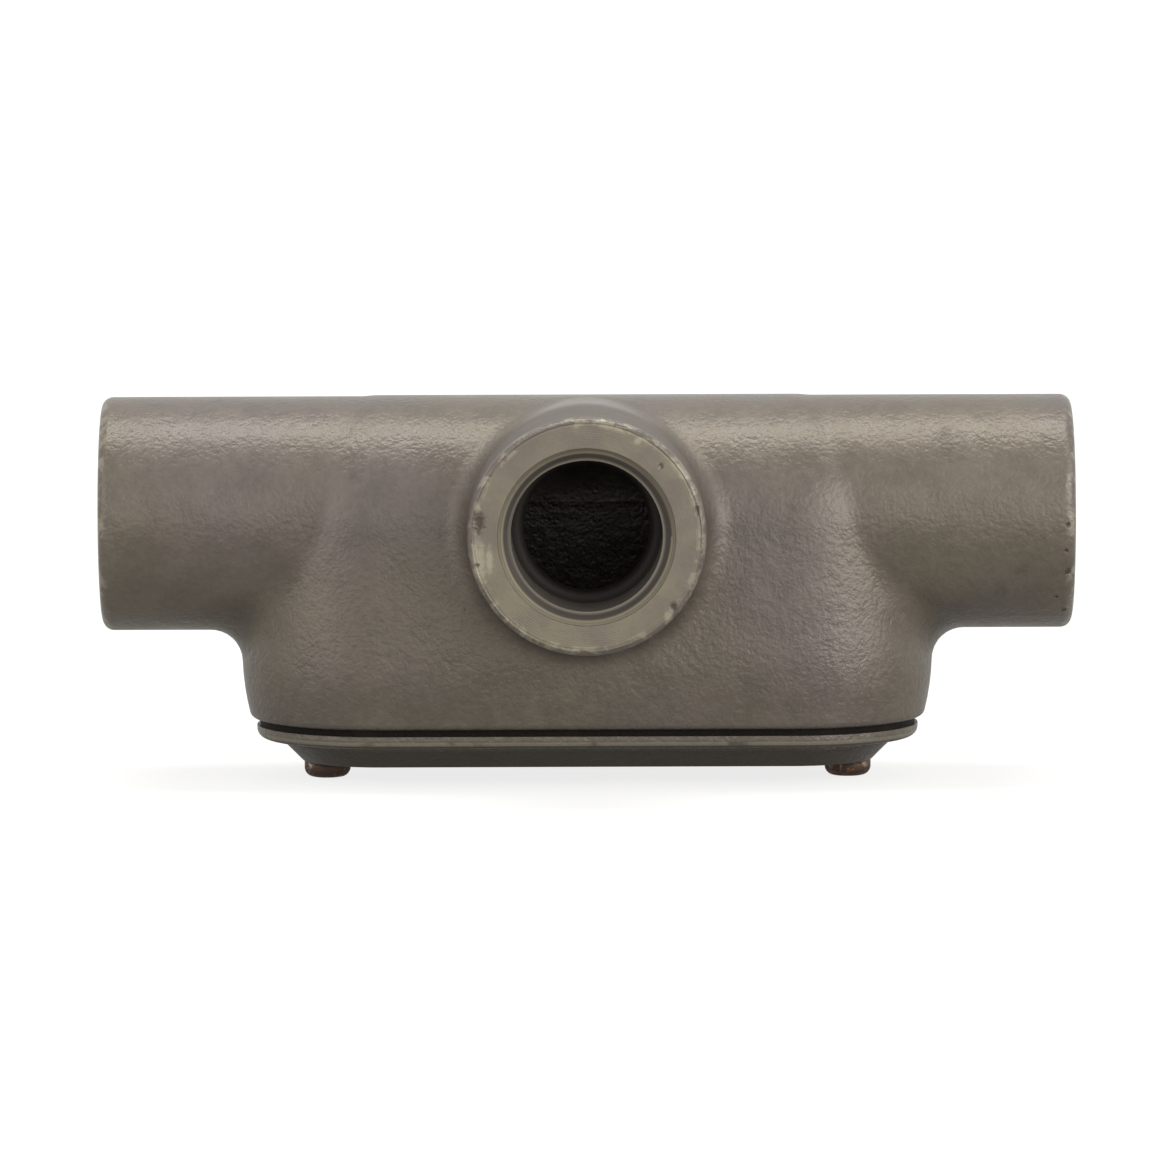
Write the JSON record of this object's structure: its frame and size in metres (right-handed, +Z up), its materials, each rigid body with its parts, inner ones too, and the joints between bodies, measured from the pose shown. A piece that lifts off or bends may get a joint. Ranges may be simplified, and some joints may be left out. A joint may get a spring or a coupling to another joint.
{
  "type": "conduit body",
  "caption": "T type conduit body for threaded conduit: cast obround chamber with tapped hubs, gasket and a domed screwed cover held by wedge nuts.",
  "frame": {"origin": "centre of the bounding box in plan, on the plane that the cover screws' heads stand on", "axes": "+X along the run, towards the right-hand run hub; -Y out of the branch hub; +Z up, from the cover to the crown"},
  "size_m": [0.1552, 0.0643, 0.0613],
  "materials": {
    "casting": "aluminium-grey enamel over a sand-cast surface, satin",
    "cover_casting": "the same grey enamel, satin",
    "gasket_rubber": "matt black",
    "screw_steel": "dull brown plated steel",
    "nut_steel": "dull zinc plate"
  },
  "bodies": {
    "housing": {"housing": "casting"},
    "cover": {"cover": "cover_casting", "gasket": "gasket_rubber"},
    "screw_left": {"cover_screw_left": "screw_steel"},
    "screw_right": {"cover_screw_right": "screw_steel"},
    "nut_left": {"wedge_nut_left": "nut_steel"},
    "nut_right": {"wedge_nut_right": "nut_steel"}
  },
  "joints": [
    {"name": "cover_lift", "type": "slide", "parent": "housing", "child": "cover", "axis": [0, 0, -1], "range_m": [0, 0.06]},
    {"name": "screw_left_turn", "type": "hinge", "parent": "cover", "child": "screw_left", "pos_m": [-0.0418, 0.00985, 0.0115], "axis": [0, 0, 1], "range_deg": [-1800, 450]},
    {"name": "screw_right_turn", "type": "hinge", "parent": "cover", "child": "screw_right", "pos_m": [0.0418, 0.00985, 0.0115], "axis": [0, 0, 1], "range_deg": [-1800, 450]},
    {"name": "nut_left_swing", "type": "hinge", "parent": "cover", "child": "nut_left", "pos_m": [-0.0418, 0.00985, 0.0141], "axis": [0, 0, 1], "range_deg": [0, 90]},
    {"name": "nut_right_swing", "type": "hinge", "parent": "cover", "child": "nut_right", "pos_m": [0.0418, 0.00985, 0.0141], "axis": [0, 0, 1], "range_deg": [0, 90]}
  ]
}
